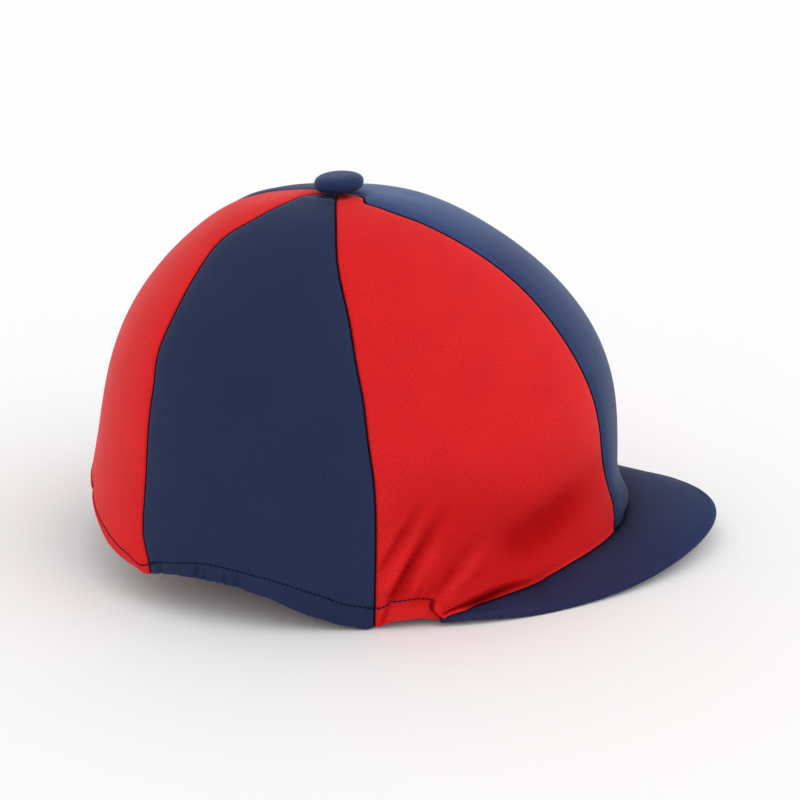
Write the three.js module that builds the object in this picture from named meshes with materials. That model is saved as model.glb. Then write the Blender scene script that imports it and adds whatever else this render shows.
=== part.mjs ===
// Jockey cap: a stretch cloth cover of six gores that meet under a covered button,
// with a turned hem and a stiff cloth-covered peak sewn to the front.
// Millimetres. +X towards the peak, +Y to the wearer's left, +Z up.
// Z = 0 is the surface that the hem and the peak's edges rest on.
import * as THREE from 'three';

// Crown: the widest level, the height above it, and how far it reaches from the button's axis
const crownHeight = 153.05;
const widestLevel = 19.8;
const frontReach = 134.0;
const backReach = 120.3;
const sideReach = 105.1;
const roundness = 2.15;
const tuckIn = 0.05;

// Cloth: single wall, turned hem, and the clearance between two sewn pieces
const clothWall = 1.2;
const hemWall = 2.4;
const hemHeight = 10.5;
const seamGap = 0.3;

// Cloth that comes this near the surface lies flat on it
const restDepth = 0.5;

// Gores: where their tips stop under the button, and how high the hem rises at the back
const tipFall = 0.035;
const hemRise = 35.0;

// Front of the crown: the cloth flares over the root of the peak
const frontFlare = 5.0;
const flareHeight = 19.0;
const flareHalfAngle = 46;

// Folds pulled up from the peak's corners, as deep as this or a share of it, and how far
// above the joint with the peak they have their full depth
const foldDepth = 1.6;
const foldFade = 7.0;

// Peak
const peakTipReach = 184.3;
const peakTipHeight = 12.2;
const peakCornerAzimuth = 72.7;
const peakCornerWidth = 2.7;
const peakSideRoundness = 1.397;
const peakTipRoundness = 1.93;
const peakSlope = 0.376;
const peakArch = 60.1;
const peakThickness = 2.8;
const peakBulge = 1.2;

// Covered button
const buttonDiameter = 22.9;
const buttonHeight = 6.2;
const buttonEdge = 4.4;

// The button's axis stands so that the cap's whole length is centred on X = 0
const axisX = (backReach - peakTipReach) / 2;

// Facets
const goreColumns = 14;
const upperRows = 13;
const lowerRows = 8;
const peakColumns = 44;
const peakRows = 5;
const buttonSides = 28;
const lowestUpperFall = 0.93;

// Crown sections. fall: the square root of the share of crownHeight lost from the top.
// front, back and side: shares of frontReach, backReach and sideReach.
const crownRows = [
  { fall: 0.00, front: 0.000, back: 0.000, side: 0.000 },
  { fall: 0.20, front: 0.309, back: 0.342, side: 0.332 },
  { fall: 0.40, front: 0.575, back: 0.576, side: 0.590 },
  { fall: 0.60, front: 0.831, back: 0.787, side: 0.817 },
  { fall: 0.75, front: 0.959, back: 0.892, side: 0.925 },
  { fall: 0.88, front: 0.995, back: 0.944, side: 0.952 },
  { fall: 1.00, front: 1.000, back: 1.000, side: 1.000 },
];

// Azimuths in degrees of the front, side and back seams, either side of the peak's line
const seamRows = [
  { fall: 0.10, front: 44.0, side: 91.7, back: 149.5 },
  { fall: 0.30, front: 35.0, side: 91.1, back: 150.6 },
  { fall: 0.50, front: 29.1, side: 88.6, back: 147.5 },
  { fall: 0.70, front: 28.4, side: 86.3, back: 142.0 },
  { fall: 0.85, front: 26.5, side: 85.0, back: 139.3 },
  { fall: 1.00, front: 16.3, side: 84.8, back: 136.7 },
];

// Lower edge of the crown. rise: its height above the foot as a share of hemRise.
// It rides over the peak's root, dips to the foot beside the ear and climbs to the back.
const edgeRows = [
  { azimuth: 0, rise: 0.423 },
  { azimuth: 15, rise: 0.411 },
  { azimuth: 26, rise: 0.391 },
  { azimuth: 39, rise: 0.371 },
  { azimuth: 50, rise: 0.303 },
  { azimuth: 60, rise: 0.254 },
  { azimuth: 67, rise: 0.189 },
  { azimuth: 72, rise: 0.114 },
  { azimuth: 75.7, rise: 0.166 },
  { azimuth: 78.5, rise: 0.194 },
  { azimuth: 81, rise: 0.111 },
  { azimuth: 84.8, rise: 0.000 },
  { azimuth: 88.6, rise: 0.000 },
  { azimuth: 91, rise: 0.080 },
  { azimuth: 94, rise: 0.166 },
  { azimuth: 99, rise: 0.294 },
  { azimuth: 104, rise: 0.414 },
  { azimuth: 110, rise: 0.520 },
  { azimuth: 116, rise: 0.571 },
  { azimuth: 122, rise: 0.566 },
  { azimuth: 128, rise: 0.529 },
  { azimuth: 134, rise: 0.463 },
  { azimuth: 138, rise: 0.446 },
  { azimuth: 143.4, rise: 0.494 },
  { azimuth: 150, rise: 0.591 },
  { azimuth: 158, rise: 0.763 },
  { azimuth: 166, rise: 0.920 },
  { azimuth: 173, rise: 0.989 },
  { azimuth: 180, rise: 1.000 },
];

// Folds on both sides, from one azimuth and height to another. Heights are shares of
// crownHeight, widths of sideReach, and depth is a share of foldDepth, inwards negative.
const foldRows = [
  { from: 82.3, fromUp: 0.075, to: 75.0, toUp: 0.320, halfWidth: 0.040, depth: -0.8 },
  { from: 80.0, fromUp: 0.090, to: 73.5, toUp: 0.270, halfWidth: 0.035, depth: 0.6 },
  { from: 75.5, fromUp: 0.110, to: 69.5, toUp: 0.260, halfWidth: 0.045, depth: -1.0 },
  { from: 72.6, fromUp: 0.100, to: 63.0, toUp: 0.200, halfWidth: 0.050, depth: 0.9 },
  { from: 66.0, fromUp: 0.095, to: 54.0, toUp: 0.100, halfWidth: 0.050, depth: -0.9 },
  { from: 68.0, fromUp: 0.230, to: 42.0, toUp: 0.310, halfWidth: 0.120, depth: -1.0 },
];

const gores = [
  { name: 'panel_front', from: ['front', -1], to: ['front', 1], cloth: 'navy' },
  { name: 'panel_front_right', from: ['side', -1], to: ['front', -1], cloth: 'red' },
  { name: 'panel_back_right', from: ['back', -1], to: ['side', -1], cloth: 'navy' },
  { name: 'panel_back', from: ['back', 1], to: ['back', -1], cloth: 'red' },
  { name: 'panel_back_left', from: ['side', 1], to: ['back', 1], cloth: 'navy' },
  { name: 'panel_front_left', from: ['front', 1], to: ['side', 1], cloth: 'red' },
];

const clothColours = { navy: 0x27304f, red: 0xc81f26 };
const clothRoughness = 0.85;

const degree = Math.PI / 180;

// Natural cubic spline through a table's rows, held straight beyond its ends
function curveThrough(rows, across, value) {
  const x = rows.map((row) => row[across]);
  const y = rows.map((row) => row[value]);
  const last = x.length - 1;
  const bend = new Array(x.length).fill(0);
  const carry = new Array(x.length).fill(0);
  for (let i = 1; i < last; i += 1) {
    const share = (x[i] - x[i - 1]) / (x[i + 1] - x[i - 1]);
    const pivot = share * bend[i - 1] + 2;
    const turn = (y[i + 1] - y[i]) / (x[i + 1] - x[i]) - (y[i] - y[i - 1]) / (x[i] - x[i - 1]);
    bend[i] = (share - 1) / pivot;
    carry[i] = ((6 * turn) / (x[i + 1] - x[i - 1]) - share * carry[i - 1]) / pivot;
  }
  bend[last] = 0;
  for (let i = last - 1; i >= 0; i -= 1) {
    bend[i] = bend[i] * bend[i + 1] + carry[i];
  }
  return (at) => {
    const held = Math.min(Math.max(at, x[0]), x[last]);
    let i = 0;
    while (i < last - 1 && held > x[i + 1]) {
      i += 1;
    }
    const span = x[i + 1] - x[i];
    const a = (x[i + 1] - held) / span;
    const b = 1 - a;
    const cubic = ((a ** 3 - a) * bend[i] + (b ** 3 - b) * bend[i + 1]) * (span * span) / 6;
    return a * y[i] + b * y[i + 1] + cubic;
  };
}

const frontShare = curveThrough(crownRows, 'fall', 'front');
const backShare = curveThrough(crownRows, 'fall', 'back');
const sideShare = curveThrough(crownRows, 'fall', 'side');
const seamAt = {
  front: curveThrough(seamRows, 'fall', 'front'),
  side: curveThrough(seamRows, 'fall', 'side'),
  back: curveThrough(seamRows, 'fall', 'back'),
};
const edgeShare = curveThrough(edgeRows, 'azimuth', 'rise');

function mix(a, b, share) {
  return a + (b - a) * share;
}

function smooth(share) {
  const held = Math.min(Math.max(share, 0), 1);
  return held * held * (3 - 2 * held);
}

// Height above the foot at a fall, and back. Past fall 1 the wall runs straight down.
function heightAt(fall) {
  const lost = fall <= 1 ? fall * fall : 2 * fall - 1;
  return widestLevel + crownHeight * (1 - lost);
}

function fallAt(height) {
  const lost = 1 - (height - widestLevel) / crownHeight;
  return lost <= 1 ? Math.sqrt(Math.max(lost, 0)) : (1 + lost) / 2;
}

// Azimuth folded to one side of the peak's line, 0 at the peak and 180 at the back
function sideAzimuth(azimuth) {
  const turned = ((azimuth % 360) + 360) % 360;
  return Math.min(turned, 360 - turned);
}

function crownEdge(azimuth) {
  return Math.max(0, hemRise * edgeShare(sideAzimuth(azimuth)));
}

// The crown's plain form: a rounded section whose reach changes with the height
function plainPoint(azimuth, fall) {
  const height = heightAt(fall);
  const tuck = tuckIn * Math.max(0, widestLevel - height);
  const shares = Math.min(fall, 1);
  const cosine = Math.cos(azimuth * degree);
  const sine = Math.sin(azimuth * degree);
  const lengthwise = cosine >= 0 ? frontReach * frontShare(shares) : backReach * backShare(shares);
  const sideways = sideReach * sideShare(shares);
  const x = Math.sign(cosine) * Math.abs(cosine) ** (2 / roundness) * (lengthwise - tuck);
  const y = Math.sign(sine) * Math.abs(sine) ** (2 / roundness) * (sideways - tuck);
  return new THREE.Vector3(axisX + x, y, height);
}

function plainNormal(azimuth, fall) {
  const azimuthStep = 0.5;
  const fallStep = 0.002;
  const across = plainPoint(azimuth + azimuthStep, fall).sub(plainPoint(azimuth - azimuthStep, fall));
  const down = plainPoint(azimuth, fall + fallStep).sub(plainPoint(azimuth, fall - fallStep));
  return down.cross(across).normalize();
}

// How far the cloth stands off the plain form, from the folds and the flare over the peak
function clothOffset(azimuth, height) {
  const side = sideAzimuth(azimuth);
  let offset = 0;
  for (const fold of foldRows) {
    const across = (fold.to - fold.from) * degree * sideReach;
    const up = (fold.toUp - fold.fromUp) * crownHeight;
    const pointAcross = (side - fold.from) * degree * sideReach;
    const pointUp = height - fold.fromUp * crownHeight;
    const along = (pointAcross * across + pointUp * up) / (across * across + up * up);
    const held = Math.min(Math.max(along, 0), 1);
    const away = Math.hypot(pointAcross - held * across, pointUp - held * up);
    offset += fold.depth * foldDepth * Math.exp(-((away / (fold.halfWidth * sideReach)) ** 2));
  }
  const aboveJoint = height - crownEdge(azimuth) - peakThickness;
  const flare = Math.min(Math.max(0, 1 - aboveJoint / flareHeight), 1);
  const window = smooth(1 - side / flareHalfAngle);
  return offset * smooth(aboveJoint / foldFade) + frontFlare * flare ** 2 * window;
}

// A point of the crown's cloth, at a depth under its outer face
function crownPoint(azimuth, fall, depth) {
  const point = plainPoint(azimuth, fall);
  const normal = plainNormal(azimuth, fall);
  return point.addScaledVector(normal, clothOffset(azimuth, heightAt(fall)) - depth);
}

// Closed body from an outer and an inner grid of points with the same rows and columns
function closedShell(outer, inner) {
  const rows = outer.length;
  const columns = outer[0].length;
  const positions = [];
  for (const grid of [outer, inner]) {
    for (const row of grid) {
      for (const point of row) {
        positions.push(point.x, point.y, point.z);
      }
    }
  }
  const faces = [];
  const outerIndex = (r, c) => r * columns + c;
  const innerIndex = (r, c) => (rows + r) * columns + c;
  const quad = (a, b, c, d) => faces.push(a, b, c, a, c, d);
  for (let r = 0; r < rows - 1; r += 1) {
    for (let c = 0; c < columns - 1; c += 1) {
      quad(outerIndex(r, c), outerIndex(r + 1, c), outerIndex(r + 1, c + 1), outerIndex(r, c + 1));
      quad(innerIndex(r, c), innerIndex(r, c + 1), innerIndex(r + 1, c + 1), innerIndex(r + 1, c));
    }
    quad(outerIndex(r, 0), innerIndex(r, 0), innerIndex(r + 1, 0), outerIndex(r + 1, 0));
    const e = columns - 1;
    quad(outerIndex(r, e), outerIndex(r + 1, e), innerIndex(r + 1, e), innerIndex(r, e));
  }
  for (let c = 0; c < columns - 1; c += 1) {
    quad(outerIndex(0, c), outerIndex(0, c + 1), innerIndex(0, c + 1), innerIndex(0, c));
    const e = rows - 1;
    quad(outerIndex(e, c), innerIndex(e, c), innerIndex(e, c + 1), outerIndex(e, c + 1));
  }
  const geometry = new THREE.BufferGeometry();
  geometry.setAttribute('position', new THREE.Float32BufferAttribute(positions, 3));
  geometry.setIndex(faces);
  geometry.computeVertexNormals();
  return geometry;
}

// One gore. Its rows follow the crown's sections above and its own lower edge below.
function goreGeometry(gore) {
  const outer = [];
  const inner = [];
  for (let r = 0; r <= upperRows + lowerRows; r += 1) {
    const outerRow = [];
    const innerRow = [];
    for (let c = 0; c <= goreColumns; c += 1) {
      const share = c / goreColumns;
      const lowest = heightAt(lowestUpperFall);
      const rowFall = (azimuth) => {
        if (r <= upperRows) {
          return mix(tipFall, lowestUpperFall, r / upperRows);
        }
        return fallAt(mix(lowest, crownEdge(azimuth), (r - upperRows) / lowerRows));
      };
      let azimuth = goreAzimuth(gore, share, Math.min(rowFall(goreAzimuth(gore, share, 1)), 1));
      const fall = rowFall(azimuth);
      const radian = plainPoint(azimuth + 0.5, fall).distanceTo(plainPoint(azimuth - 0.5, fall));
      if (c === 0) {
        azimuth += seamGap / 2 / radian;
      }
      if (c === goreColumns) {
        azimuth -= seamGap / 2 / radian;
      }
      const aboveEdge = heightAt(fall) - crownEdge(azimuth);
      const turned = smooth((hemHeight - aboveEdge) / (hemHeight / 4));
      outerRow.push(crownPoint(azimuth, fall, 0));
      innerRow.push(crownPoint(azimuth, fall, mix(clothWall, hemWall, turned)));
    }
    outer.push(outerRow);
    inner.push(innerRow);
  }
  settleOnFoot(outer);
  settleOnFoot(inner);
  return closedShell(outer, inner);
}

function goreAzimuth(gore, share, fall) {
  const start = gore.from[1] * seamAt[gore.from[0]](fall);
  let end = gore.to[1] * seamAt[gore.to[0]](fall);
  if (end < start) {
    end += 360;
  }
  return mix(start, end, share);
}

// Lays the lowest cloth flat on the surface it rests on
function settleOnFoot(grid) {
  for (const row of grid) {
    for (const point of row) {
      point.z = point.z < restDepth ? 0 : point.z;
    }
  }
}

// The peak: a thin arched crescent from the crown's face to its own rim
function peakGeometry() {
  const corner = plainPoint(peakCornerAzimuth, fallAt(crownEdge(peakCornerAzimuth)));
  const rimLength = axisX + peakTipReach - corner.x;
  const rimHalfWidth = corner.y + peakCornerWidth;
  const top = [];
  const under = [];
  for (let c = 0; c <= peakColumns; c += 1) {
    const turn = mix(1, -1, c / peakColumns);
    const azimuth = turn * peakCornerAzimuth;
    const rootTop = crownEdge(azimuth) + peakThickness;
    const rootFall = fallAt(rootTop);
    const root = crownPoint(azimuth, rootFall, 0);
    const outwards = plainNormal(azimuth, rootFall).setZ(0).normalize();
    root.addScaledVector(outwards, seamGap);
    const along = Math.max(0, Math.cos(turn * 90 * degree)) ** (2 / peakSideRoundness);
    const sideways = Math.abs(Math.sin(turn * 90 * degree)) ** (2 / peakTipRoundness);
    const across = Math.sign(turn) * sideways;
    const rimX = corner.x + rimLength * along;
    const rimY = rimHalfWidth * across;
    const rimDrop = peakArch * across * across - peakSlope * (axisX + peakTipReach - rimX);
    const rimTop = peakTipHeight - rimDrop + peakThickness / 2;
    const topLine = [];
    const underLine = [];
    for (let r = 0; r <= peakRows; r += 1) {
      const share = r / peakRows;
      const crown = 4 * share * (1 - share) * peakBulge * along;
      const x = mix(root.x, rimX, share);
      const y = mix(root.y, rimY, share);
      const z = mix(rootTop, rimTop, share) + crown;
      topLine.push(new THREE.Vector3(x, y, z));
      underLine.push(new THREE.Vector3(x, y, z - peakThickness));
    }
    top.push(topLine);
    under.push(underLine);
  }
  settleOnFoot(under);
  return closedShell(top, under);
}

// The covered button: a low dome with a rolled edge that sits on the crown's top
function buttonGeometry() {
  const radius = buttonDiameter / 2;
  const crownTop = widestLevel + crownHeight;
  const roll = buttonEdge / 2;
  const seatAt = (r) => {
    const fall = curveThrough(crownRows, 'front', 'fall')(r / frontReach);
    return heightAt(fall) + seamGap;
  };
  const profile = [new THREE.Vector2(0, crownTop + seamGap)];
  const seatSteps = 3;
  for (let i = 1; i <= seatSteps; i += 1) {
    const r = ((radius - roll) * i) / seatSteps;
    profile.push(new THREE.Vector2(r, seatAt(r)));
  }
  const rollSteps = 6;
  const rollMiddle = seatAt(radius - roll) + roll;
  for (let i = 1; i <= rollSteps; i += 1) {
    const turn = -90 * degree + (150 * degree * i) / rollSteps;
    profile.push(new THREE.Vector2(radius - roll + roll * Math.cos(turn), rollMiddle + roll * Math.sin(turn)));
  }
  const shoulder = profile[profile.length - 1];
  const domeTop = crownTop + seamGap + buttonHeight;
  const domeSteps = 4;
  for (let i = 1; i <= domeSteps; i += 1) {
    const r = shoulder.x * (1 - i / domeSteps);
    profile.push(new THREE.Vector2(r, mix(domeTop, shoulder.y, (r / shoulder.x) ** 2)));
  }
  const geometry = new THREE.LatheGeometry(profile, buttonSides);
  geometry.rotateX(90 * degree);
  geometry.translate(axisX, 0, 0);
  return geometry;
}

function clothMesh(name, geometry, cloth) {
  const material = new THREE.MeshStandardMaterial({
    color: clothColours[cloth],
    roughness: clothRoughness,
    metalness: 0,
  });
  const mesh = new THREE.Mesh(geometry, material);
  mesh.name = name;
  return mesh;
}

const cap = new THREE.Group();
for (const gore of gores) {
  cap.add(clothMesh(gore.name, goreGeometry(gore), gore.cloth));
}
cap.add(clothMesh('peak', peakGeometry(), 'navy'));
cap.add(clothMesh('button', buttonGeometry(), 'navy'));

export default cap;
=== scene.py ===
"""Jockey cap: six stretch cloth gores under a covered button, a stitched hem and a stiff peak."""
import math

import bpy
import numpy as np
from mathutils import Matrix, Vector


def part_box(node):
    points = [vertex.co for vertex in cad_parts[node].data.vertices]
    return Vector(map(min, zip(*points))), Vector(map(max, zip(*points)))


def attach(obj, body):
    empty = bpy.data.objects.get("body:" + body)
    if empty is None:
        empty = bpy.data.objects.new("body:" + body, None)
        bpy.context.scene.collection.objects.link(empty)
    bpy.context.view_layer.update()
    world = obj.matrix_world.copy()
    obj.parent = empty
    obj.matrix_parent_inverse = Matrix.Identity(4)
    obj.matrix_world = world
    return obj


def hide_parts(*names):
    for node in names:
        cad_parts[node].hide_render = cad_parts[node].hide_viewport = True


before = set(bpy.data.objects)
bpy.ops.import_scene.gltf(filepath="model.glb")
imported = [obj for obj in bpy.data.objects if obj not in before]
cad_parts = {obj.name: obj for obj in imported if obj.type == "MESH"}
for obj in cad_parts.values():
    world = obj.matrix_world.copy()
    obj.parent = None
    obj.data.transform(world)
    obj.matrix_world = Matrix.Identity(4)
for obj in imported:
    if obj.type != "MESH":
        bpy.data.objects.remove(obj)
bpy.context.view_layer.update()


# The six gores
# Fine stretch knit in navy and red, sewn edge to edge with dark thread. Every gore has its seam
# allowances pressed under and its lower edge turned up, and folds pull up from the peak's corners.

MM = 0.001
DEGREE = math.pi / 180


def node_box(node):
    """A node's lowest and highest corners in millimetres."""
    low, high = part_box(node)
    return np.array(low) / MM, np.array(high) / MM


# Sizes are in millimetres. The crown is laid out by azimuth, 0 at the front, and by fall: 0 at its
# pole under the button, 1 at its widest level. Its hem at the back is raised above that level, so it
# ends at a share of the whole reach.
button_low, button_high = node_box("button")
axis_x = (button_low[0] + button_high[0]) / 2
hem_back_share = 0.9749
back_reach = (axis_x - node_box("panel_back")[0][0]) / hem_back_share
side_fullness = 0.1
side_reach = side_fullness - node_box("panel_back_right")[0][1]
front_reach = 134.0
widest_level = 19.8
panel_top_fall = 0.035
panel_top = node_box("panel_back_right")[1][2]
crown_height = (panel_top - widest_level) / (1 - panel_top_fall**2)
tip_fall = 0.012
roundness = 2.15
tuck_in = 0.05
hem_rise = 35.0
peak_thickness = 2.8
front_flare = 5.0
flare_height = 19.0
flare_half_angle = 46.0
front_bulge = 4.6
bulge_height = 24.0
bulge_start = 5.0
bulge_half_angle = 26.0
cloth_wall = 1.2
hem_wall = 2.3
seam_gap = 0.06

# Fall, then the front, back and side reach as shares of the whole reach
CROWN_ROWS = np.array([
    (0.00, 0.000, 0.000, 0.000),
    (0.20, 0.309, 0.342, 0.332),
    (0.40, 0.575, 0.576, 0.590),
    (0.60, 0.831, 0.787, 0.817),
    (0.75, 0.959, 0.892, 0.925),
    (0.88, 0.995, 0.944, 0.952),
    (1.00, 1.000, 1.000, 1.000),
])

# Fall and azimuth in degrees of each seam. The two far seams leave the button on other ways than the
# near ones, a guess that keeps red off the skyline there, and join their course lower down.
FRONT_SEAM = np.array([
    (0.012, 6.0), (0.042, 9.0), (0.051, 19.0), (0.061, 29.0), (0.075, 43.0), (0.089, 53.0),
    (0.103, 57.6), (0.120, 54.6), (0.141, 50.3), (0.160, 47.8), (0.184, 44.8), (0.208, 41.6),
    (0.231, 39.2), (0.276, 35.8), (0.325, 32.8), (0.40, 29.4), (0.46, 28.1),
    (0.52, 27.8), (0.60, 27.9), (0.665, 27.7), (0.73, 27.0), (0.80, 25.9), (0.86, 24.8),
    (0.897, 23.3), (0.92, 21.7), (0.945, 19.4), (0.965, 17.7), (0.982, 17.9), (1.00, 19.2),
])
FAR_FRONT_SEAM = np.array([
    (0.012, 80.0), (0.060, 84.0), (0.100, 87.0), (0.150, 87.0), (0.180, 84.0), (0.200, 78.0),
    (0.220, 71.0), (0.250, 61.0), (0.280, 52.5), (0.320, 43.5), (0.360, 37.5), (0.40, 33.5),
    (0.46, 30.2), (0.52, 28.5), *FRONT_SEAM[FRONT_SEAM[:, 0] > 0.55],
])
SIDE_SEAM = np.array([
    (0.06, 93.2), (0.18, 91.7), (0.33, 91.0), (0.39, 90.2), (0.45, 89.2), (0.50, 88.4),
    (0.59, 87.5), (0.67, 86.5), (0.75, 85.9), (0.82, 85.1), (0.89, 84.75), (1.00, 84.9),
])
BACK_SEAM = np.array([
    (0.012, 178.0), (0.048, 176.0), (0.065, 171.0), (0.085, 160.0), (0.100, 154.0), (0.115, 151.0),
    (0.140, 149.2), (0.173, 148.2), (0.227, 148.4), (0.28, 151.6), (0.324, 152.8),
    (0.361, 152.3), (0.393, 151.1), (0.45, 148.9), (0.50, 147.4), (0.575, 146.0), (0.62, 145.4),
    (0.65, 144.3), (0.68, 142.8), (0.72, 141.8), (0.80, 140.5), (0.87, 139.5), (0.935, 138.6),
    (0.965, 137.4), (0.985, 135.7), (1.00, 134.5),
])
FAR_BACK_SEAM = np.array([
    (0.012, 124.0), (0.052, 129.0), (0.076, 134.5), (0.100, 137.5), (0.125, 139.5),
    (0.145, 141.8), (0.165, 145.0), (0.182, 148.6), (0.198, 152.0), (0.214, 154.6),
    (0.226, 155.4), (0.240, 155.0), (0.280, 153.4), *BACK_SEAM[BACK_SEAM[:, 0] > 0.3],
])

# Azimuth and height of the crown's lower edge as a share of the hem's rise
EDGE_ROWS = np.array([
    (0, 0.423), (12, 0.423), (20.6, 0.422), (25.2, 0.412), (31.7, 0.400), (37, 0.379),
    (40.7, 0.358), (43.3, 0.325), (46.3, 0.286), (48.6, 0.243), (52, 0.203), (56.7, 0.176),
    (61.1, 0.143), (64.5, 0.113), (67.8, 0.085), (70.6, 0.063), (72.4, 0.055), (74.7, 0.095),
    (77.6, 0.109), (80.0, 0.104), (81.3, 0.105), (82.2, 0.082), (83.2, 0.052), (84.5, 0.026),
    (85.6, 0.007), (86.4, 0.000),
    (87.3, 0.016), (88.9, 0.047), (90.4, 0.074), (93.4, 0.146), (96.1, 0.203), (98.4, 0.258),
    (103.2, 0.400), (106.1, 0.455), (110, 0.518), (114.9, 0.564), (119, 0.570), (121.2, 0.568),
    (125, 0.556), (129.3, 0.518), (132, 0.478), (134.2, 0.438), (136.2, 0.413), (137.9, 0.424),
    (139.2, 0.452), (141.4, 0.464), (145.2, 0.500), (150.5, 0.574), (156.4, 0.688),
    (162, 0.790), (166, 0.875), (169, 0.950), (173, 0.990), (180, 1.000),
])


def curve_through(rows, column=1):
    """Natural cubic through a table's first column and another, held at its ends."""
    x, y = rows[:, 0], rows[:, column]
    gap = np.diff(x)
    slope = np.diff(y) / gap
    system = np.eye(len(x))
    turn = np.zeros(len(x))
    for i in range(1, len(x) - 1):
        system[i, i - 1:i + 2] = gap[i - 1], 2 * (gap[i - 1] + gap[i]), gap[i]
        turn[i] = 6 * (slope[i] - slope[i - 1])
    bend = np.linalg.solve(system, turn)

    def value(at):
        held = np.clip(at, x[0], x[-1])
        i = np.clip(np.searchsorted(x, held) - 1, 0, len(x) - 2)
        a = (x[i + 1] - held) / gap[i]
        b = 1 - a
        cubic = ((a**3 - a) * bend[i] + (b**3 - b) * bend[i + 1]) * gap[i]**2 / 6
        return a * y[i] + b * y[i + 1] + cubic

    return value


front_share, back_share, side_share = (curve_through(CROWN_ROWS, c) for c in (1, 2, 3))
seam_azimuth = {
    "front": curve_through(FRONT_SEAM),
    "far front": curve_through(FAR_FRONT_SEAM),
    "side": curve_through(SIDE_SEAM),
    "back": curve_through(BACK_SEAM),
    "far back": curve_through(FAR_BACK_SEAM),
}
edge_share = curve_through(EDGE_ROWS)


def smooth(share):
    """0 up to 1 with a level start and end."""
    held = np.clip(share, 0, 1)
    return held * held * (3 - 2 * held)


def bell(off, width):
    return np.exp(-(off / width)**2)


def ripple(along, lengths, seed):
    """Uneven waves of a few lengths, between about -1 and 1."""
    draw = np.random.default_rng(seed)
    waves = [np.sin(2 * math.pi * (along / length + draw.random())) for length in lengths]
    return sum(waves) / len(waves)


def height_at(fall):
    lost = np.where(fall <= 1, fall * fall, 2 * fall - 1)
    return widest_level + crown_height * (1 - lost)


def fall_at(height):
    lost = 1 - (height - widest_level) / crown_height
    return np.where(lost <= 1, np.sqrt(np.maximum(lost, 0)), (1 + lost) / 2)


def side_azimuth(azimuth):
    """Degrees from the front on either side, 0 to 180."""
    turned = np.mod(azimuth, 360)
    return np.minimum(turned, 360 - turned)


def crown_edge(azimuth):
    """Height of the crown's lower edge."""
    return np.maximum(0, hem_rise * edge_share(side_azimuth(azimuth)))


def plain_point(azimuth, fall):
    """The crown's plain form, without folds."""
    height = height_at(fall)
    tuck = tuck_in * np.maximum(0, widest_level - height)
    held = np.minimum(fall, 1)
    cosine = np.cos(azimuth * DEGREE)
    sine = np.sin(azimuth * DEGREE)
    ahead = front_reach * front_share(held)
    behind = back_reach * back_share(held)
    lengthwise = np.where(cosine >= 0, ahead, behind) - tuck
    sideways = side_reach * side_share(held) - tuck
    x = np.sign(cosine) * np.abs(cosine) ** (2 / roundness) * lengthwise
    y = np.sign(sine) * np.abs(sine) ** (2 / roundness) * sideways
    return np.stack([axis_x + x, y, height + 0 * x], axis=-1)


def plain_normal(azimuth, fall):
    across = plain_point(azimuth + 0.5, fall) - plain_point(azimuth - 0.5, fall)
    down = plain_point(azimuth, fall + 0.002) - plain_point(azimuth, fall - 0.002)
    normal = np.cross(down, across)
    return normal / np.linalg.norm(normal, axis=-1, keepdims=True)


# Folds of the temple gores: azimuth and height of the lower and the upper end, how far the middle
# bows to the ear's side, how far the fold stands out (sunk in is negative), how much painted shade
# it carries (negative takes painted shade away), and its half widths on the ear's and the peak's
# side.
FOLDS = np.array([
    (83.8, 36.0, 77.8, 61.0, 0.0, 0.35, -0.10, 1.7, 1.7),
    (84.6, 27.0, 76.2, 61.0, 0.0, -0.50, 0.17, 2.0, 2.0),
    (84.4, 28.0, 79.6, 49.0, 0.0, -0.35, 0.16, 0.9, 1.1),
    (83.2, 21.0, 75.4, 55.0, 0.0, 0.50, -0.22, 1.9, 1.9),
    (82.8, 12.0, 71.0, 59.0, 0.9, -1.20, 0.22, 2.0, 2.3),
    (82.7, 13.0, 76.4, 40.0, 0.5, -0.55, 0.30, 0.8, 1.3),
    (81.0, 14.5, 77.6, 27.0, 0.0, -0.25, 0.12, 0.8, 0.9),
    (78.2, 18.0, 72.6, 44.0, 0.0, 0.60, -0.20, 2.2, 2.6),
    (77.8, 13.0, 75.8, 27.0, 0.0, -0.35, 0.14, 1.0, 1.2),
    (76.2, 13.5, 73.2, 25.0, 0.0, -0.20, 0.10, 0.8, 0.9),
    (74.6, 15.0, 64.0, 43.0, 1.0, -0.85, 0.08, 2.6, 3.4),
    (74.0, 15.0, 68.6, 31.0, 0.5, -0.30, 0.14, 0.8, 1.3),
    (73.2, 12.0, 61.5, 38.0, 0.0, 1.10, -0.20, 2.6, 3.4),
    (70.5, 16.0, 62.0, 26.0, 0.0, -0.35, 0.12, 1.2, 1.8),
    (68.0, 24.0, 24.0, 56.0, 0.0, -3.60, 0.08, 12.0, 15.0),
    (58.0, 32.0, 33.0, 48.0, 0.0, -0.60, 0.20, 10.0, 11.0),
])

# Short tucks across the hem, in the same measures
HEM_TUCKS = np.array([
    (84.1, 1.0, 81.3, 19.0, 0.0, -0.85, 0.42, 0.9, 1.0),
    (111.9, 13.0, 111.0, 26.5, 0.0, -0.75, 0.65, 1.4, 1.1),
    (114.8, 15.0, 114.0, 26.5, 0.0, -0.60, 0.60, 0.9, 0.9),
    (119.4, 15.5, 118.7, 27.5, 0.0, -0.60, 0.60, 0.8, 0.8),
    (121.8, 15.5, 120.4, 28.0, 0.0, -1.00, 0.85, 1.5, 1.2),
    (126.2, 14.5, 125.4, 25.5, 0.0, -0.35, 0.30, 1.1, 1.1),
    (131.8, 11.5, 130.4, 24.0, 0.0, -0.90, 0.75, 2.0, 1.4),
    (168.6, 26.0, 168.4, 42.0, 0.0, -0.60, 0.20, 1.6, 1.6),
])


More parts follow.
